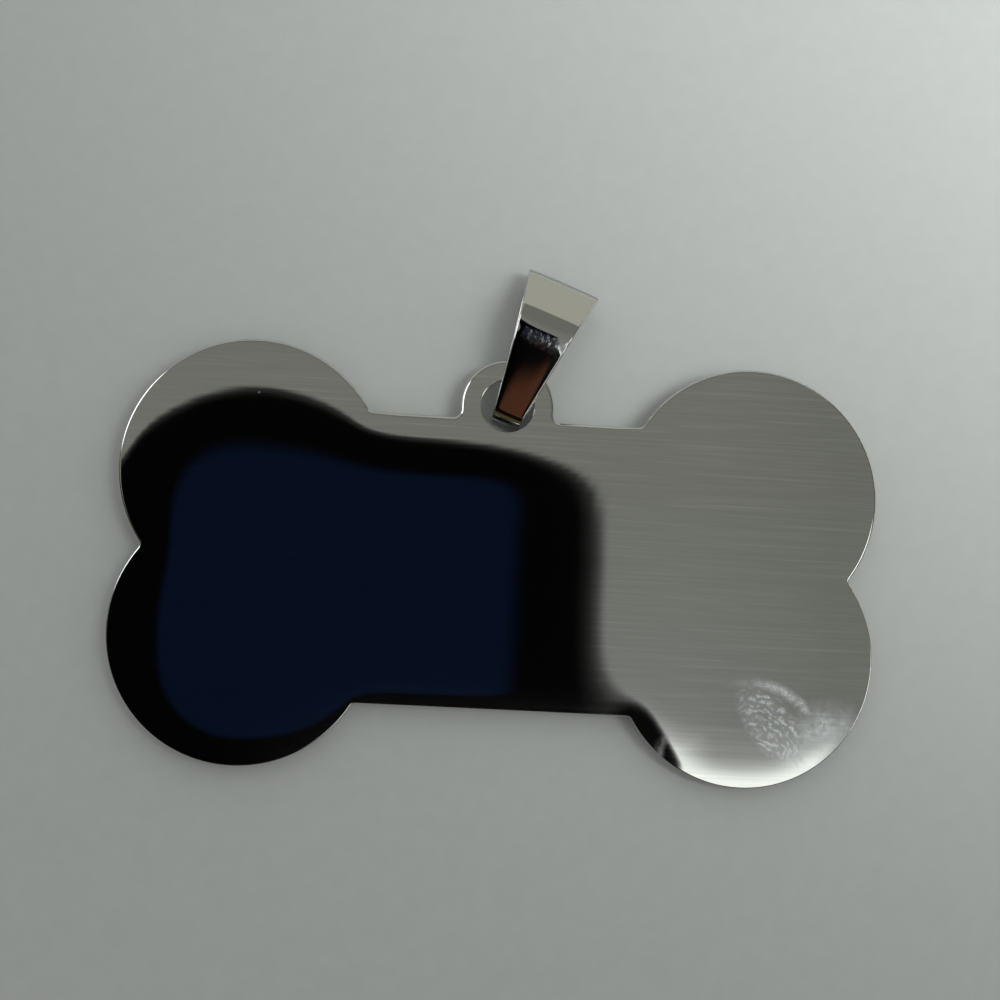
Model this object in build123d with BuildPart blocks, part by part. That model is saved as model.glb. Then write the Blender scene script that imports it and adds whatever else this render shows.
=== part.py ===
from build123d import *
from math import cos, radians, sin, tan
import os

# A bone-shaped pet tag of polished steel, with a folded bail that swivels in the hole of the tag's ear.
# The plate lies in XY with its flat back on Z = 0, its front towards +Z and its ear towards +Y.
# All sizes are in millimetres and degrees.

# Bone plate
PLATE_WIDTH = 50.0
LOBE_RADIUS = 8.55
LOBE_PITCH_X = PLATE_WIDTH - 2 * LOBE_RADIUS
LOBE_PITCH_Y = 10.56
SHAFT_HEIGHT = 19.0
NOTCH_RADIUS = 0.4
PLATE_THICKNESS = 1.5

# Polishing rolls both faces off towards the outline: a wide border that slopes down by a fraction
# of a millimetre, then a rounded edge, made of a few narrow facets
CROWN_WIDTH = 2.6
CROWN_DROP = 0.15
EDGE_RADIUS = 0.2
EDGE_FACETS = 3

# Ear with the hang hole, whose lip is rounded just below the crown on both sides
EAR_CENTRE_Y = 10.4
EAR_RADIUS = 3.1
EAR_ROOT_RADIUS = 0.5
HOLE_RADIUS = 1.75
HOLE_LIP_RADIUS = 0.15
HOLE_LIP_DEPTH = 0.1

# Bail: one tapered strip folded into a loop that hangs a little to one side in the hole. In its side view,
# U is the distance from the hole's centre towards the loop's far end, and Z is the plate's own. The front leaf
# rises from the foot to a round crest, and slopes down again to the tight bend at the far end.
STRIP_THICKNESS = 0.5
STRIP_EDGE_BREAK = 0.1
BAIL_LEAN = 20.0
BAIL_SIDE_STEP = 0.28
BAIL_FOOT_U = -1.1
BAIL_END_U = 9.3
BACK_LEAF_Z = -0.6
END_TURN_RADIUS = 1.05
END_SLOPE = 35.0
END_SLOPE_LENGTH = 2.36
CREST_RADIUS = 3.0
FRONT_LEAF_SLOPE = 17.0
FOOT_BACK_RADIUS = 0.6
FOOT_FRONT_RADIUS = 1.0
SEAM_Z = 0.35
SEAM_GAP = 0.15

# Half widths of the strip in its front view: at the foot, at the crest, and at the far end
FOOT_HALF_WIDTH = 0.94
CREST_U = 5.2
CREST_HALF_WIDTH = 1.76
END_HALF_WIDTH = 2.5

os.makedirs("parts", exist_ok=True)


# Outline of the tag: four lobes, the shaft between them, and the ear
with BuildSketch() as tag_outline:
    with GridLocations(LOBE_PITCH_X, LOBE_PITCH_Y, 2, 2):
        Circle(LOBE_RADIUS)
    Rectangle(LOBE_PITCH_X, SHAFT_HEIGHT)
    fillet(tag_outline.vertices(), NOTCH_RADIUS)
    with Locations((0, EAR_CENTRE_Y)):
        Circle(EAR_RADIUS)
        Rectangle(2 * EAR_RADIUS, EAR_CENTRE_Y, align=(Align.CENTER, Align.MAX))
    shaft_top = SHAFT_HEIGHT / 2
    top_corners = tag_outline.vertices().filter_by_position(Axis.Y, shaft_top - 0.01, shaft_top + 0.01)
    ear_roots = top_corners.filter_by_position(Axis.X, -EAR_RADIUS - 0.01, EAR_RADIUS + 0.01)
    fillet(ear_roots, EAR_ROOT_RADIUS)


# The plate's border in section, from the flat back face to the side wall: how far inside the outline, how high
border = [(CROWN_WIDTH, 0)]
for facet in range(EDGE_FACETS + 1):
    turn = radians(90 * facet / EDGE_FACETS)
    border.append((EDGE_RADIUS * (1 - sin(turn)), CROWN_DROP + EDGE_RADIUS * (1 - cos(turn))))
border += [(inside, PLATE_THICKNESS - height) for inside, height in reversed(border)]

# Bone plate: the outline drawn in at each height of the border, and the hang hole
with BuildPart() as bone_plate:
    for inside, height in border:
        with BuildSketch(Plane.XY.offset(height)):
            add(tag_outline.sketch)
            if inside > 0:
                offset(amount=-inside, mode=Mode.REPLACE)
    loft(ruled=True)

    # Half of the hole's section is turned about its axis
    middle = PLATE_THICKNESS / 2
    wall_reach = middle - HOLE_LIP_DEPTH - HOLE_LIP_RADIUS
    mouth = HOLE_RADIUS + HOLE_LIP_RADIUS
    above, below = 2 * PLATE_THICKNESS, -PLATE_THICKNESS
    with BuildSketch(Plane.XZ.offset(-EAR_CENTRE_Y)):
        with BuildLine():
            wall = Line((HOLE_RADIUS, middle - wall_reach), (HOLE_RADIUS, middle + wall_reach))
            front_lip = JernArc(wall @ 1, (0, 1), HOLE_LIP_RADIUS, -90)
            back_lip = JernArc(wall @ 0, (0, -1), HOLE_LIP_RADIUS, 90)
            Polyline(front_lip @ 1, (mouth, above), (0, above), (0, below), (mouth, below), back_lip @ 1)
        make_face()
    revolve(axis=Axis((0, EAR_CENTRE_Y, 0), (0, 0, 1)), mode=Mode.SUBTRACT)

bone_plate.part.label = "bone_plate"
export_step(bone_plate.part, "parts/bone_plate.step")


# The bail's two views: from the side, with U and Z as its axes, and from the front, with U as its X
along_bail = Vector(sin(radians(BAIL_LEAN)), cos(radians(BAIL_LEAN)), 0)
across_bail = Vector(cos(radians(BAIL_LEAN)), -sin(radians(BAIL_LEAN)), 0)
bail_origin = Vector(0, EAR_CENTRE_Y, 0) + across_bail * BAIL_SIDE_STEP
side_view = Plane(bail_origin, x_dir=along_bail, z_dir=across_bail)
front_view = Plane(bail_origin, x_dir=along_bail, z_dir=(0, 0, 1))

# Bail: the strip's folded section, cut open at the seam, then trimmed to the tapered front view
with BuildPart() as bail:
    with BuildSketch(side_view):
        with BuildLine():
            foot_back = Line((BAIL_FOOT_U, SEAM_Z), (BAIL_FOOT_U, BACK_LEAF_Z + FOOT_BACK_RADIUS))
            foot_turn = JernArc(foot_back @ 1, foot_back % 1, FOOT_BACK_RADIUS, 90)
            back_leaf = Line(foot_turn @ 1, (BAIL_END_U - END_TURN_RADIUS, BACK_LEAF_Z))
            end_turn = JernArc(back_leaf @ 1, back_leaf % 1, END_TURN_RADIUS, 180 - END_SLOPE)
            end_slope = PolarLine(end_turn @ 1, END_SLOPE_LENGTH, angle=180 - END_SLOPE)
            crest = JernArc(end_slope @ 1, end_slope % 1, CREST_RADIUS, END_SLOPE + FRONT_LEAF_SLOPE)
            foot_angle = 90 - FRONT_LEAF_SLOPE
            leaf_run = ((crest @ 1).X - BAIL_FOOT_U) / cos(radians(FRONT_LEAF_SLOPE))
            leaf_length = leaf_run - FOOT_FRONT_RADIUS * tan(radians(foot_angle / 2))
            front_leaf = PolarLine(crest @ 1, leaf_length, angle=180 + FRONT_LEAF_SLOPE)
            front_turn = JernArc(front_leaf @ 1, front_leaf % 1, FOOT_FRONT_RADIUS, foot_angle)
            Line(front_turn @ 1, foot_back @ 0)
        make_face()
        offset(amount=-STRIP_THICKNESS, mode=Mode.SUBTRACT)
        with Locations((BAIL_FOOT_U + STRIP_THICKNESS / 2, SEAM_Z)):
            Rectangle(2 * STRIP_THICKNESS, SEAM_GAP, mode=Mode.SUBTRACT)
    extrude(amount=2 * END_HALF_WIDTH, both=True)
    with BuildSketch(front_view):
        with BuildLine():
            half_outline = Polyline(
                (BAIL_FOOT_U, 0),
                (BAIL_FOOT_U, FOOT_HALF_WIDTH),
                (CREST_U, CREST_HALF_WIDTH),
                (BAIL_END_U, END_HALF_WIDTH),
                (BAIL_END_U, 0),
            )
            mirror(half_outline, about=Plane.XZ)
        make_face()
    extrude(amount=2 * CREST_RADIUS, both=True, mode=Mode.INTERSECT)
    chamfer(bail.edges(), STRIP_EDGE_BREAK)

bail.part.label = "bail"
export_step(bail.part, "parts/bail.step")
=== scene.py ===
# %% [markdown]
# # A polished pet tag with a folded bail
# The tag is a blank steel plate in the shape of a bone. It has a round ear with a hole, and a strip of
# the same steel, folded into a loop, hangs in that hole. Both are polished to a mirror, so nearly all
# of their look comes from two things: the exact roll of their surfaces, and what stands around them to
# be mirrored.

# %% Load the frame
import bpy
import numpy as np
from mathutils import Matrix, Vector
from mathutils.geometry import delaunay_2d_cdt


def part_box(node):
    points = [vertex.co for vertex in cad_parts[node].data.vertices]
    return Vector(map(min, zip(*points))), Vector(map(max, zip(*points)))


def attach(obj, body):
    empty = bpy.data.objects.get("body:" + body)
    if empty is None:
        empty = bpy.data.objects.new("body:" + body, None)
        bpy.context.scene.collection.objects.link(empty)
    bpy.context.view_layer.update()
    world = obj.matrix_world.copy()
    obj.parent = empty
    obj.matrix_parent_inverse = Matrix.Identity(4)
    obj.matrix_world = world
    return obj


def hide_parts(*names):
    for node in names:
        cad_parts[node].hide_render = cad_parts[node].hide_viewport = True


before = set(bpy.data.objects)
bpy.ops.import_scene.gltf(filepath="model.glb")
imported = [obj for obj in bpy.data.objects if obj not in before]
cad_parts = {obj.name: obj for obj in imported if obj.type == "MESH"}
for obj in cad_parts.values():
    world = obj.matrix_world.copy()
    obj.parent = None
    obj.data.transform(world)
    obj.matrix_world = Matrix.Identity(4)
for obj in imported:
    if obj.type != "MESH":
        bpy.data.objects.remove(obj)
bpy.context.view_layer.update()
bpy.context.scene.view_settings.view_transform = "Standard"

# %% [markdown]
# ## The camera
# The tag lies on a table and is seen from almost straight above. A camera was fitted to the plate's
# outline: its place, its three turns and its lens are the values here. All lengths are metres, written
# as so many millimetres.

# %% Camera
MM = 0.001
CAMERA_PLACE = (-5.35 * MM, -2.75 * MM, 87.8 * MM)
CAMERA_TURN = np.radians((4.37, -3.65, 2.99))
CAMERA_LENS = 47.7
SENSOR_WIDTH = 36.0

camera_data = bpy.data.cameras.new("camera")
camera_data.lens = CAMERA_LENS
camera_data.sensor_width = SENSOR_WIDTH
camera_data.clip_start = 1 * MM
camera = bpy.data.objects.new("camera", camera_data)
camera.location = CAMERA_PLACE
camera.rotation_euler = CAMERA_TURN
bpy.context.collection.objects.link(camera)
bpy.context.scene.camera = camera
print("camera height in mm:", round(camera.location.z / MM, 1))

# %% [markdown]
# ## Drawing with a pen that walks
# The plate's outline and the bail's side view are both made of straight runs and round turns. One
# helper serves both: a pen starts at a point with a heading, and each move is either a run of some
# length or a turn of some radius and angle. It gives back the points and the heading at each, from
# which the normals follow. Round turns get points by angle as well as by length, because a tight inner
# corner opens into a wide one when it is drawn inwards.

# %% A walking pen
STEP = 0.2 * MM
TURN_STEP = np.radians(3.0)


def run(length):
    """A straight move: its length and no turn."""
    return length, 0.0


def turn(radius, degrees):
    """A round move: its arc length and its turn, positive to the left."""
    angle = np.radians(degrees)
    return radius * abs(angle), angle


def walk(start, heading, moves):
    """Points and headings of a pen that makes the moves in order. On a round move the heading grows
    evenly, and the point is the chord from the move's start: its length is 2 r sin(half the turn so
    far), and it points along the heading half-way through that turn."""
    place, direction = np.array(start, float), np.radians(heading)
    points, headings = [place[None]], [np.array([direction])]
    for length, angle in moves:
        count = int(np.ceil(max(length / STEP, abs(angle) / TURN_STEP, 1)))
        part = np.arange(1, count + 1) / count
        half = part * angle / 2
        chord = length * part * np.sinc(half / np.pi)
        middle = direction + half
        points.append(place + chord[:, None] * np.stack([np.cos(middle), np.sin(middle)], axis=1))
        headings.append(direction + 2 * half)
        place, direction = points[-1][-1], headings[-1][-1]
    return np.concatenate(points), np.concatenate(headings)


# %% [markdown]
# ## The bone outline
# Four equal round lobes sit at the corners of a shaft, and the sharp inner corners are softened by a
# small radius. Where a corner circle touches a lobe, the two centres and the touching point are in
# line, so the angle of that line says how far the pen turns. The ear is two short sides and a half
# circle on the shaft's top edge.

# %% Outline of the plate
plate_low, plate_high = (np.array(corner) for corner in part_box("bone_plate"))
PLATE_THICKNESS = plate_high[2] - plate_low[2]
LOBE_RADIUS = 8.55 * MM
LOBE_X = plate_high[0] - LOBE_RADIUS
LOBE_Y = 5.28 * MM
SHAFT_EDGE = 9.5 * MM
CORNER_RADIUS = 0.4 * MM
EAR_CENTRE = 10.4 * MM
EAR_RADIUS = 3.1 * MM
EAR_ROOT_RADIUS = 0.5 * MM

reach = LOBE_RADIUS + CORNER_RADIUS
corner_rise = SHAFT_EDGE + CORNER_RADIUS - LOBE_Y
shaft_angle = np.degrees(np.arcsin(corner_rise / reach))
notch_angle = np.degrees(np.arcsin(LOBE_Y / reach))
corner_x = LOBE_X - reach * np.cos(np.radians(shaft_angle))

lobe = turn(LOBE_RADIUS, 180 + notch_angle - shaft_angle)
shaft_corner = turn(CORNER_RADIUS, shaft_angle - 90)
notch = turn(CORNER_RADIUS, -2 * notch_angle)
bone_half = [run(corner_x), shaft_corner, lobe, notch, lobe, shaft_corner]
ear_side = [
    run(corner_x - EAR_RADIUS - EAR_ROOT_RADIUS),
    turn(EAR_ROOT_RADIUS, -90),
    run(EAR_CENTRE - SHAFT_EDGE - EAR_ROOT_RADIUS),
]
ear = ear_side + [turn(EAR_RADIUS, 180)] + ear_side[::-1]
no_ear = [run(2 * corner_x)]


def outline(top_edge):
    """The bone's outline, anticlockwise from the middle of its lower edge, with its outward directions,
    which are the headings turned right. The last point is the first again, so it is dropped."""
    points, headings = walk((0, -SHAFT_EDGE), 0, bone_half + top_edge + bone_half[::-1])
    outward = np.stack([np.sin(headings), -np.cos(headings)], axis=1)
    return points[:-1], outward[:-1]


tag_edge, tag_outward = outline(ear)
bone_edge, bone_outward = outline(no_ear)
print("outline of", len(tag_edge), "points,", (np.ptp(tag_edge, axis=0) / MM).round(2), "mm")

# %% [markdown]
# ## How the polished face rolls off
# A buffing wheel presses harder near an edge, so a polished plate is flat only in its middle. Towards
# its outline it falls away by a fraction of a millimetre, steeper and steeper. On a mirror that tiny
# fall bends every reflection along the outline. A wheel smooths the plate as a blur smooths a picture,
# so the fall is worked out that way: the bone is drawn on a fine grid and blurred, by multiplying its
# waves with a bell curve. A wide blur gives the soft roll of the whole border, and a narrow one the
# last half millimetre, where the wheel wraps round the edge. The ear is left out of that drawing, so it
# droops with the edge that it stands on. The waves give the slope as well as the height, so each vertex
# gets its exact normal, and the mirror shows no facets.

# %% Height and slope of the face
CELL = 0.1 * MM
BUFF_WIDTHS = (2.2 * MM, 0.7 * MM)
BUFF_DROPS = (0.13 * MM, 0.03 * MM)
FIELD_HALF = np.array([34.0, 24.0]) * MM

field_x, field_y = (np.arange(-half, half, CELL) for half in FIELD_HALF)
away_x, away_y = np.meshgrid(np.abs(field_x), np.abs(field_y), indexing="ij")
in_lobe = LOBE_RADIUS - np.hypot(away_x - LOBE_X, away_y - LOBE_Y)
in_shaft = np.minimum(LOBE_X - away_x, SHAFT_EDGE - away_y)
bone = np.clip(np.maximum(in_lobe, in_shaft) / CELL + 0.5, 0, 1)

wave_x, wave_y = np.meshgrid(
    *(2 * np.pi * np.fft.fftfreq(len(axis), CELL) for axis in (field_x, field_y)), indexing="ij"
)
wave_square = wave_x**2 + wave_y**2
bell = sum(2 * drop * np.exp(-wave_square * width**2 / 2) for drop, width in zip(BUFF_DROPS, BUFF_WIDTHS))
waves = np.fft.fft2(bone) * bell
along_waves = (1, 1j * wave_x, 1j * wave_y)
height_and_slope = np.stack([np.fft.ifft2(waves * factor).real for factor in along_waves], axis=-1)


def on_face(plan):
    """How far the face has fallen, and its tilt, at plan points. Both are read from the blurred bone
    between its four nearest grid points: the fall is the height of an endless plate less the height
    here, and the tilt is the slope, taken outwards."""
    cell = (plan + FIELD_HALF) / CELL
    corner = np.floor(cell).astype(int)
    part_x, part_y = np.moveaxis(cell - corner, -1, 0)[..., None]
    i, j = np.moveaxis(corner, -1, 0)
    near = height_and_slope[i, j] * (1 - part_y) + height_and_slope[i, j + 1] * part_y
    far = height_and_slope[i + 1, j] * (1 - part_y) + height_and_slope[i + 1, j + 1] * part_y
    here = near * (1 - part_x) + far * part_x
    return 2 * sum(BUFF_DROPS) - here[..., 0], -here[..., 1:]


lower_edge = on_face(np.array([0, -SHAFT_EDGE]))
print("at the lower edge: fall in mm", (lower_edge[0] / MM).round(3), "tilt", lower_edge[1].round(4))

# %% [markdown]
# ## The plate's rounded edge and hole
# A rim is a profile carried along a path: the quarter round of the front edge, the side wall, and the
# same quarter round at the back. The edge was not buffed evenly: the lower half is nearly sharp, the
# upper half is softer, and the ear and the top of the shaft, between the lobes, are softest. The hole's
# lip is the same profile, carried round a circle and facing inwards, so one function makes both grids.

# %% Rims
LOWER_EDGE_RADIUS = 0.1 * MM
UPPER_EDGE_RADIUS = 0.22 * MM
TOP_EDGE_RADIUS = 0.3 * MM
UPPER_FROM, UPPER_TO = -4 * MM, 5 * MM
TOP_FADE = 1.5 * MM
HOLE_RADIUS = 1.75 * MM
HOLE_LIP_RADIUS = 0.08 * MM
ROUND_STEPS = 6
HOLE_POINTS = 120


def smooth_step(value, start, end):
    """0 before the start, 1 after the end, and 3 s^2 - 2 s^3 of the way s between them."""
    share = np.clip((value - start) / (end - start), 0, 1)
    return share * share * (3 - 2 * share)


def rim(edge, outward, radius):
    """A grid around a closed edge, one row for each step of its profile. At turn a of the quarter
    round, a point lies radius (1 - sin a) inside the edge and radius (1 - cos a) below the face, and
    its normal is outward sin a + up cos a, with the face's own tilt fading out. The back is the front
    mirrored in the middle. The radius is one value, or one for each point of the edge."""
    angle = np.radians(np.linspace(0, 90, ROUND_STEPS + 1))[:, None]
    inset = radius * (1 - np.sin(angle))
    plan = edge - outward * inset[:, :, None]
    fall, tilt = on_face(plan)
    height = PLATE_THICKNESS - fall - radius * (1 - np.cos(angle))
    side = outward * np.sin(angle)[:, :, None] + tilt * np.cos(angle)[:, :, None]
    front = np.dstack([plan, height])
    normal = np.dstack([side, np.broadcast_to(np.cos(angle), height.shape)])
    mirror = np.array([1, 1, -1])
    back = front[::-1] * mirror + np.array([0, 0, PLATE_THICKNESS])
    return np.concatenate([front, back]), np.concatenate([normal, normal[::-1] * mirror])


hole_angle = np.linspace(0, -2 * np.pi, HOLE_POINTS, endpoint=False)
hole_out = np.stack([np.cos(hole_angle), np.sin(hole_angle)], axis=1)
hole_edge = np.array([0, EAR_CENTRE]) + HOLE_RADIUS * hole_out

edge_x, edge_y = np.abs(tag_edge[:, 0]), tag_edge[:, 1]
upper = smooth_step(edge_y, UPPER_FROM, UPPER_TO)
top = smooth_step(edge_x, corner_x, corner_x - TOP_FADE) * smooth_step(edge_y, 0, UPPER_TO)
edge_radius = LOWER_EDGE_RADIUS + (UPPER_EDGE_RADIUS - LOWER_EDGE_RADIUS) * upper
edge_radius = edge_radius + (TOP_EDGE_RADIUS - UPPER_EDGE_RADIUS) * top
edge_grid, edge_normals = rim(tag_edge, tag_outward, edge_radius)
hole_grid, hole_normals = rim(hole_edge, -hole_out, HOLE_LIP_RADIUS)
print("edge grid", edge_grid.shape[:2], "hole grid", hole_grid.shape[:2])

# %% [markdown]
# ## The plate's two faces
# The face between the two rims has no simple grid, so it is a sheet of triangles: rings of points drawn
# inwards from the bone's outline follow the roll-off, two rings follow the ear's hole, and a
# constrained Delaunay triangulation joins them up inside the edge and outside the hole. One sheet
# serves the front and, turned over, the back.

# %% Faces and the finished plate
RING_INSETS = np.linspace(0.6, 2.8, 20) ** 2 * MM
EAR_RINGS = (2.3 * MM, 2.57 * MM)
RING_GAP = 0.1 * MM
INSIDE_ONLY = 1
JOIN_WITHIN = 1e-6

ring_points = (bone_edge - bone_outward * RING_INSETS[:, None, None]).reshape(-1, 2)
from_hole = np.hypot(ring_points[:, 0], ring_points[:, 1] - EAR_CENTRE)
ear_points = np.concatenate([np.array([0, EAR_CENTRE]) + radius * hole_out for radius in EAR_RINGS])
inner_plan = np.concatenate([ring_points[from_hole > EAR_RINGS[0] + RING_GAP], ear_points])
inner_fall, inner_tilt = on_face(inner_plan)


def loop_edges(start, count):
    """The closed chain of edges from each of count points to the next."""
    index = np.arange(count)
    return np.stack([start + index, start + (index + 1) % count], axis=1)


edge_count, hole_count = len(tag_edge), len(hole_edge)
sheet_plan = np.concatenate([edge_grid[0, :, :2], hole_grid[0, :, :2], inner_plan])
sheet_loops = np.concatenate([loop_edges(0, edge_count), loop_edges(edge_count, hole_count)])
sheet_points = [Vector(point) for point in (sheet_plan / MM).tolist()]
sheet = delaunay_2d_cdt(sheet_points, sheet_loops.tolist(), [], INSIDE_ONLY, JOIN_WITHIN)
triangles = np.array(sheet[2])
on_hole_edge = (triangles >= edge_count) & (triangles < edge_count + hole_count)
triangles = triangles[~on_hole_edge.all(axis=1)]
print("face of", len(triangles), "triangles on", len(sheet_plan), "points")

# %% [markdown]
# ## From arrays to a piece
# Every grid here is open in its first direction and closed in its second, so one rule gives its faces.
# A piece takes over from its solid in the frame and rides on the same body. Its
# normals are set from the formulas, and they run smoothly over every edge.

# %% Plate


def grid_faces(rows, columns, start=0):
    """Quads of a grid whose second direction is closed: each point, the one in the next row, and so
    round."""
    row, column = np.meshgrid(np.arange(rows - 1), np.arange(columns), indexing="ij")
    beside = (column + 1) % columns
    this_row, next_row = row * columns, (row + 1) * columns
    corners = [this_row + column, next_row + column, next_row + beside, this_row + beside]
    return start + np.stack(corners, axis=-1).reshape(-1, 4)


def make_piece(name, points, normals, faces, node, body):
    """Puts points, vertex normals and faces into a mesh, and gives it the node's place in the frame."""
    mesh = bpy.data.meshes.new(name)
    mesh.from_pydata(points.tolist(), [], faces)
    mesh.shade_smooth()
    lengths = np.linalg.norm(normals, axis=1, keepdims=True)
    mesh.normals_split_custom_set_from_vertices((normals / lengths).tolist())
    piece = bpy.data.objects.new(name, mesh)
    bpy.context.collection.objects.link(piece)
    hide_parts(node)
    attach(piece, body)
    return piece


inner_front = np.column_stack([inner_plan, PLATE_THICKNESS - inner_fall])
inner_back = np.column_stack([inner_plan, inner_fall])
inner_up = np.column_stack([inner_tilt, np.ones(len(inner_plan))])
plate_points = np.concatenate(
    [edge_grid.reshape(-1, 3), hole_grid.reshape(-1, 3), inner_front, inner_back]
)
plate_normals = np.concatenate(
    [edge_normals.reshape(-1, 3), hole_normals.reshape(-1, 3), inner_up, inner_up * np.array([1, 1, -1])]
)
hole_start = edge_grid.shape[0] * edge_count
inner_start = hole_start + hole_grid.shape[0] * hole_count


def face_sheet(edge_row, hole_row, inner):
    """The sheet's triangles, renumbered to a row of the edge's grid, a row of the hole's and inner
    points."""
    numbers = np.concatenate(
        [
            edge_row * edge_count + np.arange(edge_count),
            hole_start + hole_row * hole_count + np.arange(hole_count),
            inner + np.arange(len(inner_plan)),
        ]
    )
    return numbers[triangles]


last_row = edge_grid.shape[0] - 1
plate_faces = grid_faces(edge_grid.shape[0], edge_count).tolist()
plate_faces += grid_faces(hole_grid.shape[0], hole_count, hole_start).tolist()
plate_faces += face_sheet(0, 0, inner_start).tolist()
plate_faces += face_sheet(last_row, last_row, inner_start + len(inner_plan))[:, ::-1].tolist()
plate = make_piece(
    "bone_plate_polished",
    plate_points,
    plate_normals,
    plate_faces,
    node="bone_plate",
    body="plate",
)
print("plate:", len(plate_points), "points,", len(plate_faces), "faces")

# %% [markdown]
# ## The bail
# A bail is one tapered strip, bent round a former into a drop-shaped loop and closed through the ear's
# hole. In its side view the pen walks once round the loop along the middle of the strip: down from the
# seam, round the foot, along the flat back leaf, round the tight bend at the far end, up a slope, over
# the crest, and down the front leaf to the seam again.

# %% Path of the strip
STRIP_THICKNESS = 0.5 * MM
BAIL_FOOT = -1.1 * MM
BAIL_END = 9.3 * MM
BACK_LEAF = -0.6 * MM
END_TURN_RADIUS = 1.05 * MM
END_SLOPE = 35.0
END_SLOPE_LENGTH = 2.36 * MM
CREST_RADIUS = 3.0 * MM
FRONT_LEAF_SLOPE = 17.0
FOOT_BACK_RADIUS = 0.6 * MM
FOOT_FRONT_RADIUS = 1.0 * MM
SEAM_HEIGHT = 0.35 * MM
SEAM_GAP = 0.15 * MM

half_strip = STRIP_THICKNESS / 2
seam_low, seam_high = SEAM_HEIGHT - SEAM_GAP / 2, SEAM_HEIGHT + SEAM_GAP / 2
loop_start = (BAIL_FOOT + half_strip, seam_low)
to_leaf = [
    run(seam_low - BACK_LEAF - FOOT_BACK_RADIUS),
    turn(FOOT_BACK_RADIUS - half_strip, 90),
    run(BAIL_END - END_TURN_RADIUS - BAIL_FOOT - FOOT_BACK_RADIUS),
    turn(END_TURN_RADIUS - half_strip, 180 - END_SLOPE),
    run(END_SLOPE_LENGTH),
    turn(CREST_RADIUS - half_strip, END_SLOPE + FRONT_LEAF_SLOPE),
]
leaf_top = walk(loop_start, -90, to_leaf)[0][-1]
foot_angle = 90 - FRONT_LEAF_SLOPE
foot_radius = FOOT_FRONT_RADIUS - half_strip
leaf_run = (leaf_top[0] - loop_start[0]) / np.cos(np.radians(FRONT_LEAF_SLOPE))
leaf = [run(leaf_run - foot_radius * np.tan(np.radians(foot_angle / 2))), turn(foot_radius, foot_angle)]
front_foot = walk(loop_start, -90, to_leaf + leaf)[0][-1]
loop_points, loop_headings = walk(loop_start, -90, to_leaf + leaf + [run(front_foot[1] - seam_high)])
loop_length = np.concatenate([[0], np.cumsum(np.linalg.norm(np.diff(loop_points, axis=0), axis=1))])


def length_at(heading):
    """How far along the strip the pen's heading first passes an angle, given in degrees."""
    return loop_length[np.argmax(loop_headings > np.radians(heading))]


print("strip of", round(loop_length[-1] / MM, 2), "mm,", len(loop_points), "stations")

# %% [markdown]
# The strip's section is a flat bar with rounded edges. Polishing has domed its two wide faces a little,
# most near the edges, so the mirror bends there and gives the strip soft, darker borders. Just below
# the crest the wheel has taken more off the corners, and there each edge catches a glint. The section
# is a base curve, moved out by the edge radius along its own normals, and it takes its width from how
# far up the bail it is. Carried along the path, it gives a grid that is closed round the section.

# %% Sizes of the strip
BAIL_LEAN = np.radians(20.0)
BAIL_SIDE_STEP = 0.28 * MM
STRIP_EDGE_RADIUS = 0.12 * MM
STRIP_DOME = 0.06
CREST_DOME = 0.2
CREST_DOME_REACH = 0.5 * MM
CREST_DOME_HEADING = 187.0
WIDTH_STATIONS = (BAIL_FOOT, 5.2 * MM, BAIL_END)
HALF_WIDTHS = (0.94 * MM, 1.85 * MM, 2.55 * MM)
EDGE_STEPS = 5
FACE_STEPS = 13

along = np.array([np.sin(BAIL_LEAN), np.cos(BAIL_LEAN), 0])
across = np.array([np.cos(BAIL_LEAN), -np.sin(BAIL_LEAN), 0])
up = np.array([0, 0, 1.0])
bail_origin = np.array([0, EAR_CENTRE, 0]) + BAIL_SIDE_STEP * across

over_face = np.linspace(1, -1, FACE_STEPS)[1:-1]
half_ring = np.concatenate([np.ones(EDGE_STEPS), over_face, -np.ones(EDGE_STEPS)])
ring_side = np.concatenate([half_ring, -half_ring])
ring_face = np.repeat([1, -1], len(half_ring))
crest_length = length_at(CREST_DOME_HEADING)
dome = STRIP_DOME + CREST_DOME * np.exp(-(((loop_length - crest_length) / CREST_DOME_REACH) ** 2))
print("dome's slope at the strip's edges, in degrees:", np.degrees([dome.min(), dome.max()]).round(1))

# %% Section of the strip


def ring_angles(dome):
    """The directions that a section's points face, as angles from the strip's side. Round an edge they
    turn evenly from the side to the end of the dome, and over the face they lean from square as s
    cubed."""
    quarter = np.linspace(0, 1, EDGE_STEPS) * (np.pi / 2 - dome[:, None])
    face = np.pi / 2 - dome[:, None] * over_face**3
    half = np.concatenate([quarter, face, np.pi - quarter[:, ::-1]], axis=1)
    return np.concatenate([half, half + np.pi], axis=1)


def strip_ring(half_width, half_thickness, radius, dome):
    """Sections for half widths and domes. On the base curve, s runs from 1 to -1 across the face, and
    the face falls by a quarter of the dome's end slope times s to the fourth times the half width. Its
    slope then goes as s cubed. Gives the places across and through the strip, and the fall."""
    base_width = half_width[:, None] - radius
    fall = dome[:, None] * ring_side**4 / 4 * base_width
    angle = ring_angles(dome)
    wide = ring_side * base_width + radius * np.cos(angle)
    thick = ring_face * (half_thickness - radius - fall) + radius * np.sin(angle)
    return wide, thick, fall


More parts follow.
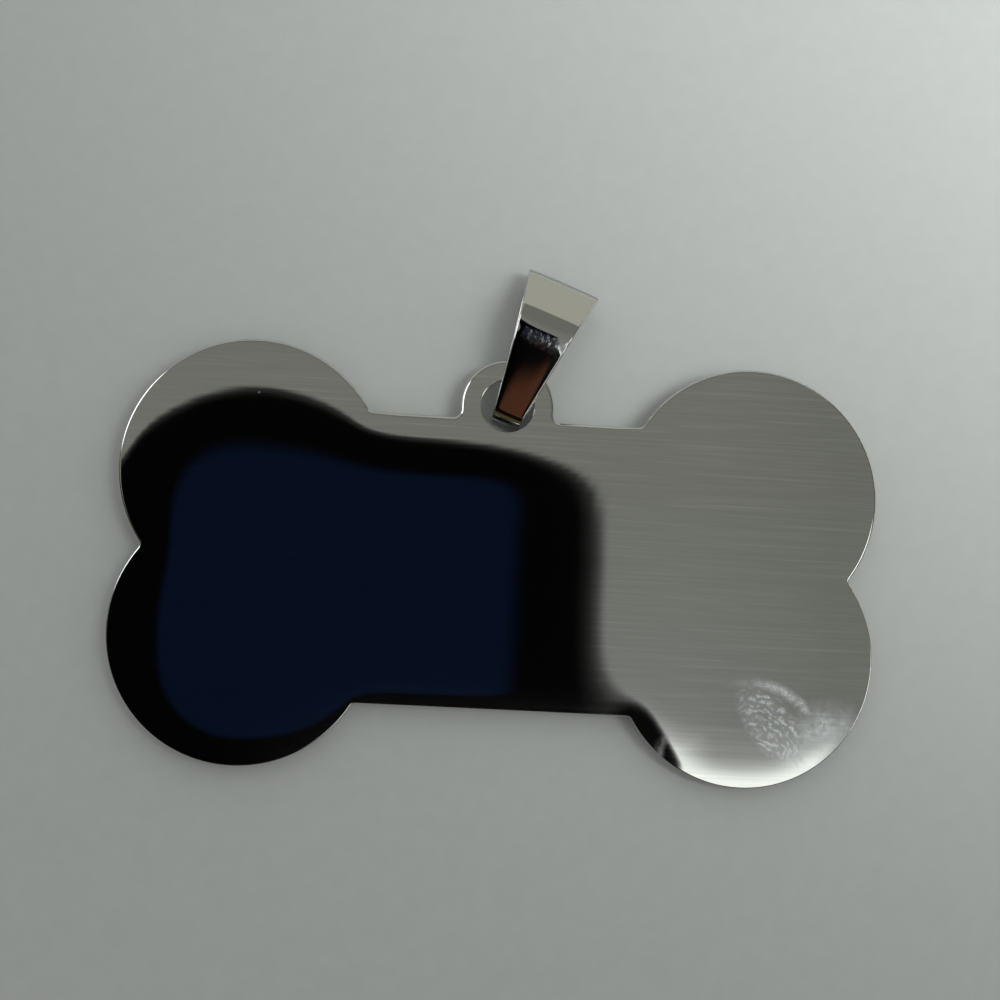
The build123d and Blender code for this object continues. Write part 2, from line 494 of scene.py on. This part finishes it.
# %% Strip carried along the path
half_width = np.interp(loop_points[:, 0], WIDTH_STATIONS, HALF_WIDTHS)
heading = loop_headings[:, None, None]
inward = -np.sin(heading) * along + np.cos(heading) * up
forward = np.cos(heading) * along + np.sin(heading) * up
spine = (bail_origin + loop_points[:, :1] * along + loop_points[:, 1:] * up)[:, None]
wide, thick, fall = strip_ring(half_width, half_strip, STRIP_EDGE_RADIUS, dome)
strip_points = spine + wide[:, :, None] * across + thick[:, :, None] * inward
ring_angle = ring_angles(dome)[:, :, None]
fall_along = np.gradient(fall, loop_length, axis=0)[:, :, None]
strip_normals = np.cos(ring_angle) * across + np.sin(ring_angle) * inward + fall_along * forward
print("half widths of the strip, in mm:", (np.array([half_width.min(), half_width.max()]) / MM).round(2))

# %% Cut ends, with a small bevel and a flat end face, and the finished bail
END_BEVEL = 0.05 * MM

ends = [0, -1]
end_half_width = half_width[ends] - END_BEVEL
end_half_strip = half_strip - END_BEVEL
end_wide, end_thick = strip_ring(end_half_width, end_half_strip, STRIP_EDGE_RADIUS / 2, dome[ends])[:2]
outward_end = forward[ends] * np.array([-1, 1])[:, None, None]
end_points = spine[ends] + END_BEVEL * outward_end
end_points = end_points + end_wide[:, :, None] * across + end_thick[:, :, None] * inward[ends]
ring = len(ring_side)
bail_points = np.concatenate([end_points[:1], strip_points, end_points[1:]]).reshape(-1, 3)
end_normals = np.broadcast_to(outward_end, (2, ring, 3))
bail_normals = np.concatenate([end_normals[:1], strip_normals, end_normals[1:]]).reshape(-1, 3)
bail_faces = grid_faces(len(strip_points) + 2, ring).tolist()
bail_faces += [list(range(ring)), list(range(len(bail_points) - ring, len(bail_points)))[::-1]]
bail = make_piece(
    "bail_folded",
    bail_points,
    bail_normals,
    bail_faces,
    node="bail",
    body="bail",
)
print("bail:", len(bail_points), "points,", len(bail_faces), "faces")

# %% Strip map for the bail
strip_map = np.stack(np.broadcast_arrays(wide, loop_length[:, None]), axis=-1)
strip_map = np.concatenate([strip_map[:1], strip_map, strip_map[-1:]]).reshape(-1, 2)
corner_points = np.empty(len(bail.data.loops), dtype=np.int32)
bail.data.loops.foreach_get("vertex_index", corner_points)
uv_map = bail.data.uv_layers.new(name="strip")
uv_map.data.foreach_set("uv", strip_map[corner_points].ravel().astype(np.float32))
print("strip map in mm, across and along:", (np.ptp(strip_map, axis=0) / MM).round(2))

# %% [markdown]
# ## Finishes: what more than one material uses
# Both pieces are the same stainless steel, polished on the same wheels. What tells a real mirror finish
# from a perfect one are its traces. Two of them show on both pieces: hairlines that all run one way,
# and dust. Each is a node group, so that the plate and the strip can use it with values of their own. A
# group gives masks and heights only, and the shader stays in the material.

# %% Node helpers


def add(tree, kind, inputs, **settings):
    """Adds a node with settings. Each input is a value, or an output of another node that gets linked
    to it."""
    node = tree.nodes.new(kind)
    for name, value in settings.items():
        setattr(node, name, value)
    for name, value in inputs.items():
        if isinstance(value, bpy.types.NodeSocket):
            tree.links.new(value, node.inputs[name])
        else:
            node.inputs[name].default_value = value
    return node


def math(tree, operation, first, second):
    """One sum: a math node on two values or outputs."""
    return add(tree, "ShaderNodeMath", {0: first, 1: second}, operation=operation).outputs[0]


def ramp(tree, value, start, end):
    """A straight rise from 0, where the value is start, to 1, where it is end."""
    inputs = {"Value": value, "From Min": start, "From Max": end}
    return add(tree, "ShaderNodeMapRange", inputs).outputs[0]


def between(tree, value, start, full, fall, end):
    """1 between full and fall, with a straight rise from start and a straight fall to end."""
    return math(tree, "MULTIPLY", ramp(tree, value, start, full), ramp(tree, value, end, fall))


def product(tree, first, *others):
    """The product of values or outputs, with one math node for each one after the first."""
    for other in others:
        first = math(tree, "MULTIPLY", first, other)
    return first


def total(tree, first, *others):
    """The sum of values or outputs, with one math node for each one after the first."""
    for other in others:
        first = math(tree, "ADD", first, other)
    return first


def blend(tree, factor, first, second):
    """A colour between two colours: the first at factor 0, the second at 1."""
    inputs = {"Factor": factor, "A": first, "B": second}
    return add(tree, "ShaderNodeMix", inputs, data_type="RGBA").outputs[2]


# %% Texture helpers


def noise(tree, place, scale, detail, dimensions="3D"):
    """Cloudy values around a half, with about so many clouds to each unit of the place."""
    inputs = {"Vector": place, "Scale": scale, "Detail": detail}
    return add(tree, "ShaderNodeTexNoise", inputs, noise_dimensions=dimensions).outputs[0]


def spread_out(tree, place, scale):
    """A place with each of its coordinates multiplied by a scale of its own."""
    scaled = add(tree, "ShaderNodeVectorMath", {0: place, 1: scale}, operation="MULTIPLY")
    return scaled.outputs["Vector"]


def facing(tree, direction, way):
    """How much a direction points some way: the cosine of the angle between the two."""
    cosine = add(tree, "ShaderNodeVectorMath", {0: direction, 1: way}, operation="DOT_PRODUCT")
    return cosine.outputs["Value"]


# %% Node groups


def new_group(name, values, outputs):
    """A node group with a Vector input, named number inputs with defaults, and named number outputs."""
    group = bpy.data.node_groups.new(name, "ShaderNodeTree")
    group.interface.new_socket("Vector", in_out="INPUT", socket_type="NodeSocketVector")
    for socket, value in values.items():
        made = group.interface.new_socket(socket, in_out="INPUT", socket_type="NodeSocketFloat")
        made.default_value = value
    for socket in outputs:
        group.interface.new_socket(socket, in_out="OUTPUT", socket_type="NodeSocketFloat")
    source = group.nodes.new("NodeGroupInput").outputs
    result = group.nodes.new("NodeGroupOutput").inputs
    return group, source, result


# %% Hairlines
LONG_LINES = (1.2, 0.6, 1)

hairline_values = {"Per metre along": 90, "Per metre across": 6000}
hairlines, source, result = new_group("polishing hairlines", hairline_values, ["Fine", "Long"])
per_metre = {"X": source["Per metre along"], "Y": source["Per metre across"]}
per_metre = add(hairlines, "ShaderNodeCombineXYZ", per_metre).outputs[0]
lines_at = spread_out(hairlines, source["Vector"], per_metre)
fine = noise(hairlines, lines_at, 1.0, 3.0, "2D")
long = noise(hairlines, spread_out(hairlines, lines_at, LONG_LINES), 1.0, 1.0, "2D")
hairlines.links.new(fine, result["Fine"])
hairlines.links.new(ramp(hairlines, long, 0.62, 0.8), result["Long"])
print(hairlines.name, [socket.name for socket in hairlines.interface.items_tree])

# %% Dust
dust_values = {"Per metre": 160, "Radius": 0.02, "Share": 0.5}
dust, source, result = new_group("dust specks", dust_values, ["Specks"])
cells = add(dust, "ShaderNodeTexVoronoi", {"Vector": source["Vector"], "Scale": source["Per metre"]})
speck = math(dust, "LESS_THAN", cells.outputs["Distance"], source["Radius"])
cell_colour = add(dust, "ShaderNodeSeparateColor", {"Color": cells.outputs["Color"]})
chosen = math(dust, "LESS_THAN", cell_colour.outputs[0], source["Share"])
dust.links.new(math(dust, "MULTIPLY", speck, chosen), result["Specks"])
print(dust.name, [socket.name for socket in dust.interface.items_tree])

# %% [markdown]
# ## The polished plate
# Polished steel is a metal with a low roughness. The hairlines run along the bone: they roughen it a
# little and tilt the mirror by a fraction of a degree. The light that they scatter is painted into the
# colour: they are painted paler, a painted sheen. A finger has left a print on one lobe, a film of grease
# that is rougher and paler than the metal. It has three parts: a patch of ridges on a thin veil, an arc
# beside it where the fingertip rolled, and a thin, bluish smear next to them. The ridges are circles
# round one centre, drawn by a sine of the distance. Cloudy noise makes them wander and breaks them.

# %% Materials


def new_material(name, piece):
    """A material with an empty node tree, put on a piece; gives back the tree."""
    material = bpy.data.materials.new(name)
    material.use_nodes = True
    material.node_tree.nodes.clear()
    piece.data.materials.clear()
    piece.data.materials.append(material)
    return material.node_tree


def in_oval(tree, place, centre, turned, half_size):
    """Coordinates in which an oval is the unit circle, and the distance from its centre."""
    oval = {"Vector": place, "Location": centre, "Rotation": (0, 0, turned), "Scale": half_size}
    inside = add(tree, "ShaderNodeMapping", oval, vector_type="TEXTURE").outputs[0]
    return inside, add(tree, "ShaderNodeVectorMath", {0: inside}, operation="LENGTH").outputs["Value"]


# %% Print on the plate
PRINT_CENTRE = (18.4 * MM, -9.65 * MM, 0)
PRINT_HALF_SIZE = (3.1 * MM, 1.5 * MM, 1.0)
PRINT_TURN = np.radians(-50)
RIDGE_CENTRE = (16.6 * MM, -12.6 * MM, 0)
RIDGE_STEP = 0.42 * MM
ARC_RIDGE = 13.6
SMEAR_CENTRE = (21.5 * MM, -9.7 * MM, 0)
SMEAR_HALF_SIZE = (2.6 * MM, 1.7 * MM, 1.0)
SMEAR_TURN = np.radians(20)
VEIL = 0.25

tree = new_material("polished plate", plate)
place = add(tree, "ShaderNodeTexCoord", {}).outputs["Object"]
in_print, from_print = in_oval(tree, place, PRINT_CENTRE, PRINT_TURN, PRINT_HALF_SIZE)
from_smear = in_oval(tree, place, SMEAR_CENTRE, SMEAR_TURN, SMEAR_HALF_SIZE)[1]
ridge = in_oval(tree, place, RIDGE_CENTRE, 0, (RIDGE_STEP, RIDGE_STEP, 1.0))[1]
blots = noise(tree, place, 3000.0, 1.0)
patches = noise(tree, place, 650.0, 2.0)

wander = total(tree, ridge, product(tree, patches, 4.5))
crests = math(tree, "SINE", product(tree, wander, 2 * np.pi), 0.0)
broken = product(tree, ramp(tree, crests, -1.8, 0.9), ramp(tree, blots, 0.3, 0.62))
broken = math(tree, "MAXIMUM", broken, VEIL)
patch = product(tree, broken, ramp(tree, from_print, 1.15, 0.75), ramp(tree, patches, 0.25, 0.45))

off_arc = math(tree, "ABSOLUTE", math(tree, "SUBTRACT", ridge, ARC_RIDGE), 0.0)
along_print = add(tree, "ShaderNodeSeparateXYZ", {"Vector": in_print}).outputs["X"]
arc = product(tree, between(tree, along_print, -1.3, -0.6, 0.1, 0.5), ramp(tree, off_arc, 1.2, 0.2))
arc = product(tree, arc, ramp(tree, total(tree, blots, patches), 0.5, 1.15))
smear = product(tree, ramp(tree, from_smear, 1.2, 0.4), ramp(tree, patches, 0.25, 0.6))
smear = product(tree, smear, ramp(tree, blots, -0.1, 0.8))
film = math(tree, "MAXIMUM", math(tree, "MAXIMUM", patch, arc), smear)
print("print:", len(tree.nodes), "nodes")

# %% Steel of the plate
STEEL = (0.61, 0.62, 0.6, 1)
STEEL_WITH_PAINTED_SHEEN = (0.8, 0.81, 0.79, 1)
GREASE = (0.63, 0.69, 0.72, 1)
HAIRLINE_HEIGHT = 0.15e-6
SWELL_HEIGHT = 7e-6

lines = add(tree, "ShaderNodeGroup", {}, node_tree=hairlines)
tree.links.new(place, lines.inputs["Vector"])
specks = add(tree, "ShaderNodeGroup", {}, node_tree=dust)
tree.links.new(place, specks.inputs["Vector"])
fine, long = lines.outputs["Fine"], lines.outputs["Long"]
swell = noise(tree, place, 110.0, 1.0)
relief = total(tree, product(tree, fine, HAIRLINE_HEIGHT), product(tree, swell, SWELL_HEIGHT))
bump = add(tree, "ShaderNodeBump", {"Strength": 1.0, "Distance": 1.0, "Height": relief})
rough = total(tree, 0.02, product(tree, fine, 0.02), product(tree, film, 0.3))
# Painted sheen: the light that the hairlines scatter is painted into the colour as paler streaks.
painted_streak_sheen = total(tree, product(tree, long, 0.4), ramp(tree, fine, 0.35, 1.6))
dirt = math(tree, "MAXIMUM", product(tree, film, 0.6), product(tree, specks.outputs["Specks"], 0.3))
colour = blend(tree, dirt, blend(tree, painted_streak_sheen, STEEL, STEEL_WITH_PAINTED_SHEEN), GREASE)
metal = math(tree, "SUBTRACT", 1.0, product(tree, dirt, 0.6))
steel = add(
    tree,
    "ShaderNodeBsdfPrincipled",
    {"Base Color": colour, "Metallic": metal, "Roughness": rough, "Normal": bump.outputs[0]},
)
add(tree, "ShaderNodeOutputMaterial", {"Surface": steel.outputs[0]})
print("plate material:", len(tree.nodes), "nodes")

# %% [markdown]
# ## The polished strip
# The bail's finish is the same, but its hairlines follow the strip, so they use its own map: across the
# strip and along it, both in metres. Where the strip was bent over its former, below the crest, the
# outside of the metal has stretched and left short marks along the strip, between two edges that the
# wheel has polished clean. At the far end the bend is so tight that the wheel hardly reaches it, so it
# is rougher there, and its colour there is darkened as painted shade.

# %% Strip material
BEND_FROM = length_at(180.5)
BEND_TO = BEND_FROM + 1.05 * MM
BEND_RISE, BEND_FALL = 0.2 * MM, 0.6 * MM
BEND_HALF_WIDTH = 1.4 * MM
CLEAN_EDGE = 0.25 * MM
TIGHT_FROM, TIGHT_TO = length_at(20), length_at(140)
TIGHT_FADE = 0.2 * MM
STRIP_STEEL = (0.66, 0.66, 0.65, 1)
STRIP_DUST = (0.75, 0.75, 0.74, 1)
PAINTED_SHADE_STEEL = (0.46, 0.46, 0.45, 1)
STRIP_LINE_HEIGHT = 0.4e-6
MARK_HEIGHT = 9e-6

tree = new_material("polished strip", bail)
place = add(tree, "ShaderNodeUVMap", {}, uv_map="strip").outputs[0]
turned = add(tree, "ShaderNodeMapping", {"Vector": place, "Rotation": (0, 0, np.pi / 2)}).outputs[0]
strip_lines = {"Per metre along": 160, "Per metre across": 9000}
lines = add(tree, "ShaderNodeGroup", strip_lines, node_tree=hairlines)
tree.links.new(turned, lines.inputs["Vector"])
specks = add(tree, "ShaderNodeGroup", {"Per metre": 500, "Radius": 0.03, "Share": 0.3}, node_tree=dust)
tree.links.new(add(tree, "ShaderNodeTexCoord", {}).outputs["Object"], specks.inputs["Vector"])
fine = lines.outputs["Fine"]

on_strip = add(tree, "ShaderNodeSeparateXYZ", {"Vector": place}).outputs
along_strip = on_strip["Y"]
from_middle = math(tree, "ABSOLUTE", on_strip["X"], 0.0)
bend = between(tree, along_strip, BEND_FROM, BEND_FROM + BEND_RISE, BEND_TO - BEND_FALL, BEND_TO)
bend = product(tree, bend, ramp(tree, from_middle, BEND_HALF_WIDTH, BEND_HALF_WIDTH - CLEAN_EDGE))
tight = between(tree, along_strip, TIGHT_FROM, TIGHT_FROM + TIGHT_FADE, TIGHT_TO - TIGHT_FADE, TIGHT_TO)
marks_at = add(tree, "ShaderNodeMapping", {"Vector": place, "Scale": (4200, 3000, 1)}).outputs[0]
stretched = product(tree, ramp(tree, noise(tree, marks_at, 1.0, 2.0, "2D"), 0.48, 0.75), bend)

relief = total(tree, product(tree, fine, STRIP_LINE_HEIGHT), product(tree, stretched, MARK_HEIGHT))
bump = add(tree, "ShaderNodeBump", {"Strength": 1.0, "Distance": 1.0, "Height": relief})
rough = total(tree, 0.02, product(tree, fine, 0.03), product(tree, stretched, 0.17))
rough = total(tree, rough, product(tree, bend, 0.1), product(tree, tight, 0.25))
colour = blend(tree, specks.outputs["Specks"], STRIP_STEEL, STRIP_DUST)
# Painted shade: the tight far end of the strip gets a darker colour.
colour = blend(tree, tight, colour, PAINTED_SHADE_STEEL)
steel = add(
    tree,
    "ShaderNodeBsdfPrincipled",
    {"Base Color": colour, "Metallic": 1.0, "Roughness": rough, "Normal": bump.outputs[0]},
)
add(tree, "ShaderNodeOutputMaterial", {"Surface": steel.outputs[0]})
print("strip material:", len(tree.nodes), "nodes")

# %% [markdown]
# ## The table
# The tag lies on its back, but the bail's back leaf is lower than the plate, so the tag rests on that
# leaf and on its two lower lobes, and the table is a very slight slope in the tag's own frame. The
# table is pale, matt and plain, with a faint grain.

# %% Table
TABLE_HALF = 2.0
REST_EDGE = np.array([LOBE_X, 2 * MM - LOBE_Y - LOBE_RADIUS])
REST_LEAF = EAR_CENTRE + BAIL_FOOT + FOOT_BACK_RADIUS
PAPER = (0.405, 0.43, 0.41, 1)
PALER_PAPER = (0.445, 0.47, 0.45, 1)

rest_height = on_face(REST_EDGE)[0]
table_fall = (BACK_LEAF - rest_height) / (REST_LEAF - REST_EDGE[1])
table_y = np.array([-1, -1, 1, 1]) * TABLE_HALF
table_x = np.array([-1, 1, 1, -1]) * TABLE_HALF
table_z = rest_height + (table_y - REST_EDGE[1]) * table_fall
table_mesh = bpy.data.meshes.new("table")
table_mesh.from_pydata(np.stack([table_x, table_y, table_z], axis=1).tolist(), [], [[0, 1, 2, 3]])
table = bpy.data.objects.new("table", table_mesh)
bpy.context.collection.objects.link(table)

tree = new_material("pale table", table)
place = add(tree, "ShaderNodeTexCoord", {}).outputs["Object"]
paper = blend(tree, noise(tree, place, 900.0, 4.0), PAPER, PALER_PAPER)
matt = add(tree, "ShaderNodeBsdfPrincipled", {"Base Color": paper, "Roughness": 0.9})
add(tree, "ShaderNodeOutputMaterial", {"Surface": matt.outputs[0]})
print("table slope in degrees:", round(np.degrees(np.arctan(table_fall)), 2))

# %% [markdown]
# ## What the mirror sees
# A mirror shows nothing of its own, so the studio is built for it. Plain cards hang 0.6 m above the
# table, and only reflections see them. A large dark card over the left and near side makes the deep
# black of a polished face. It is turned a little and has a narrow grey rim. Just below it hang a blue
# card, for a touch of colour in the black, and a brown one, for the bail's steep leaf. To the near
# right, a bright card with a wing on each side and a pale surround lights the lower right rim. Each
# card's edge fades out, by a weight that is worked out at every vertex from the distance to a rounded
# rectangle.

# %% A card
CARD_GRID = 121
CARD_HEIGHT = 0.6


def rounded_end(past_end, past_side, radius):
    """Distance to one end of a card, less than 0 inside it: measured from the lines that lie a radius
    inside the end and the sides, as the hypotenuse past both, or else as the larger of the two, less
    the radius."""
    over_end, over_side = past_end + radius, past_side + radius
    outside = np.hypot(np.clip(over_end, 0, None), np.clip(over_side, 0, None))
    return outside + np.clip(np.maximum(over_end, over_side), None, 0) - radius


def card(name, above, low, high, corners, fade, colour):
    """A level card with one radius for its left corners and one for its right ones. The distance at
    each vertex is the larger of those to the two ends, and the weight falls from 1 to 0 as it goes from
    -fade to 0."""
    lines_x, lines_y = (np.linspace(start, end, CARD_GRID) for start, end in zip(low, high))
    u, v = np.meshgrid(lines_x, lines_y, indexing="ij")
    past_side = np.maximum(low[1] - v, v - high[1])
    left = rounded_end(low[0] - u, past_side, corners[0])
    right = rounded_end(u - high[0], past_side, corners[1])
    weight = smooth_step(-np.maximum(left, right), 0, fade)
    index = np.arange(CARD_GRID * CARD_GRID).reshape(CARD_GRID, CARD_GRID)
    corner_index = [index[:-1, :-1], index[:-1, 1:], index[1:, 1:], index[1:, :-1]]
    faces = np.stack(corner_index, axis=-1).reshape(-1, 4)
    mesh = bpy.data.meshes.new(name)
    points = np.stack([u, v, np.full_like(u, CARD_HEIGHT + above)], axis=-1).reshape(-1, 3)
    mesh.from_pydata(points.tolist(), [], faces.tolist())
    weights = mesh.attributes.new("weight", "FLOAT", "POINT")
    weights.data.foreach_set("value", weight.ravel().astype(np.float32))
    made = bpy.data.objects.new(name, mesh)
    bpy.context.collection.objects.link(made)
    made.visible_camera = made.visible_diffuse = made.visible_shadow = False
    made.visible_transmission = made.visible_volume_scatter = False
    tree = new_material(name, made)
    share = add(tree, "ShaderNodeAttribute", {}, attribute_name="weight").outputs["Fac"]
    glow = add(tree, "ShaderNodeEmission", {"Color": (*colour, 1), "Strength": 1.0})
    clear = add(tree, "ShaderNodeBsdfTransparent", {})
    mixed = add(tree, "ShaderNodeMixShader", {0: share, 1: clear.outputs[0], 2: glow.outputs[0]})
    add(tree, "ShaderNodeOutputMaterial", {"Surface": mixed.outputs[0]})
    return made


# %% Cards
BLACK = (0.001, 0.001, 0.001)
GREY = (0.034, 0.034, 0.032)
BLUE = (0.0028, 0.0068, 0.02)
BROWN = (0.08, 0.03, 0.015)
BRIGHT = (1.5, 1.55, 1.5)
PALE = (0.37, 0.38, 0.36)

# By name: how far above the card height, low and high corners, radii at the left and right, fade, colour
CARDS = {
    "dark card": (0.0, (-0.4095, -0.53), (0.09, 0.1295), (0.3315, 0.0915), 0.012, BLACK),
    "dark rim": (0.001, (-0.413, -0.53), (0.0935, 0.133), (0.335, 0.095), 0.006, GREY),
    "blue middle": (-0.002, (-0.165, -0.13), (0.052, 0.08), (0.07, 0.03), 0.014, BLUE),
    "brown card": (-0.002, (-0.15, -0.4), (-0.02, -0.22), (0.03, 0.03), 0.022, BROWN),
    "bright card": (0.004, (-0.02, -0.42), (0.335, -0.109), (0.02, 0.09), 0.092, BRIGHT),
    "left wing": (0.005, (-0.1, -0.42), (0.15, -0.08), (0.02, 0.02), 0.11, BRIGHT),
    "right wing": (0.006, (0.205, -0.42), (0.335, -0.092), (0.02, 0.02), 0.1, BRIGHT),
    "pale surround": (0.008, (0.03, -0.44), (0.35, -0.06), (0.05, 0.05), 0.06, PALE),
}
DARK_CARD_TURN = np.radians(1.3)

cards = {name: card(name, *values) for name, values in CARDS.items()}
for name in ("dark card", "dark rim"):
    cards[name].rotation_euler.z = DARK_CARD_TURN
print(len(cards), "cards at", CARD_HEIGHT, "m")

# %% [markdown]
# ## Light
# Matt surfaces get a soft light from all round, stronger from the far side, and that of one lamp on the
# right, so shadows are soft and fall to the left. The mirror doesn't see the lamp. It sees a room: a
# grey ceiling, lighter on the near side and darker far off and to the right, warm walls below about 28
# degrees, a dim corner on the near left, dimmer walls on the right, and two windows, which make the
# glints on rounded edges. Each window is the part of the sky within some angle of a direction. A camera
# sees a plain pale backdrop. Light Path tells these apart.

# %% World
CEILING = (0.232, 0.238, 0.214, 1)
NEAR_CEILING = (0.27, 0.278, 0.26, 1)
FAR_CEILING = (0.19, 0.195, 0.175, 1)
WALL = (0.46, 0.465, 0.39, 1)
DIM_CEILING = (0.006, 0.004, 0.003, 1)
DIM_WALL = (0.075, 0.055, 0.026, 1)
DAYLIGHT = (3.0, 3.05, 3.1, 1)
BACKDROP = (0.5, 0.52, 0.5, 1)
FAR_LIGHT = (0.9, 0.9, 0.9, 1)
NEAR_LIGHT = (0.27, 0.27, 0.27, 1)
WINDOWS = {(-0.78, 0.4, 0.48): 13, (0.7, -0.14, 0.7): 8}
WINDOW_FADE = 3
DIM_SIDE = (-0.45, -0.89, 0)

world = bpy.data.worlds.new("room")
bpy.context.scene.world = world
world.use_nodes = True
tree = world.node_tree
tree.nodes.clear()
direction = add(tree, "ShaderNodeTexCoord", {}).outputs["Generated"]
near = facing(tree, direction, DIM_SIDE)
axes = add(tree, "ShaderNodeSeparateXYZ", {"Vector": direction}).outputs
right = product(tree, ramp(tree, axes["X"], 0.2, 0.35), 0.6)
far = math(tree, "MAXIMUM", ramp(tree, axes["Y"], 0.28, 0.45), right)
ceiling = blend(tree, ramp(tree, axes["Y"], 0.1, -0.09), CEILING, NEAR_CEILING)
ceiling = blend(tree, far, ceiling, FAR_CEILING)
ceiling = blend(tree, ramp(tree, near, 0.3, 0.42), ceiling, DIM_CEILING)
dim = math(tree, "MAXIMUM", ramp(tree, near, 0.1, 0.35), ramp(tree, axes["X"], 0.55, 0.75))
wall = blend(tree, dim, WALL, DIM_WALL)
room = blend(tree, ramp(tree, axes["Z"], 0.455, 0.485), wall, ceiling)
for window, edge in WINDOWS.items():
    outer, inner = np.cos(np.radians((edge + WINDOW_FADE, edge)))
    room = blend(tree, ramp(tree, facing(tree, direction, window), outer, inner), room, DAYLIGHT)

path = add(tree, "ShaderNodeLightPath", {}).outputs
light = blend(tree, ramp(tree, near, -0.7, 0.7), FAR_LIGHT, NEAR_LIGHT)
seen = blend(tree, path["Is Glossy Ray"], light, room)
seen = blend(tree, path["Is Camera Ray"], seen, BACKDROP)
backdrop = add(tree, "ShaderNodeBackground", {"Color": seen, "Strength": 1.0})
add(tree, "ShaderNodeOutputWorld", {"Surface": backdrop.outputs[0]})
print("world:", len(tree.nodes), "nodes")

# %% Lamp
LAMP_PLACE = Vector((0.14, 0.05, 0.16))
LAMP_TARGET = Vector((0.08, 0.08, 0))
LAMP_SIZE = 0.14
LAMP_SPREAD = np.radians(50)
LAMP_POWER = 0.097

lamp_data = bpy.data.lights.new("right lamp", "AREA")
lamp_data.size = LAMP_SIZE
lamp_data.spread = LAMP_SPREAD
lamp_data.energy = LAMP_POWER
lamp = bpy.data.objects.new("right lamp", lamp_data)
lamp.location = LAMP_PLACE
lamp.rotation_euler = (LAMP_TARGET - LAMP_PLACE).to_track_quat("-Z", "Y").to_euler()
lamp.visible_glossy = False
bpy.context.collection.objects.link(lamp)
print("lamp of", LAMP_POWER, "W,", round((LAMP_TARGET - LAMP_PLACE).length, 3), "m from what it looks at")
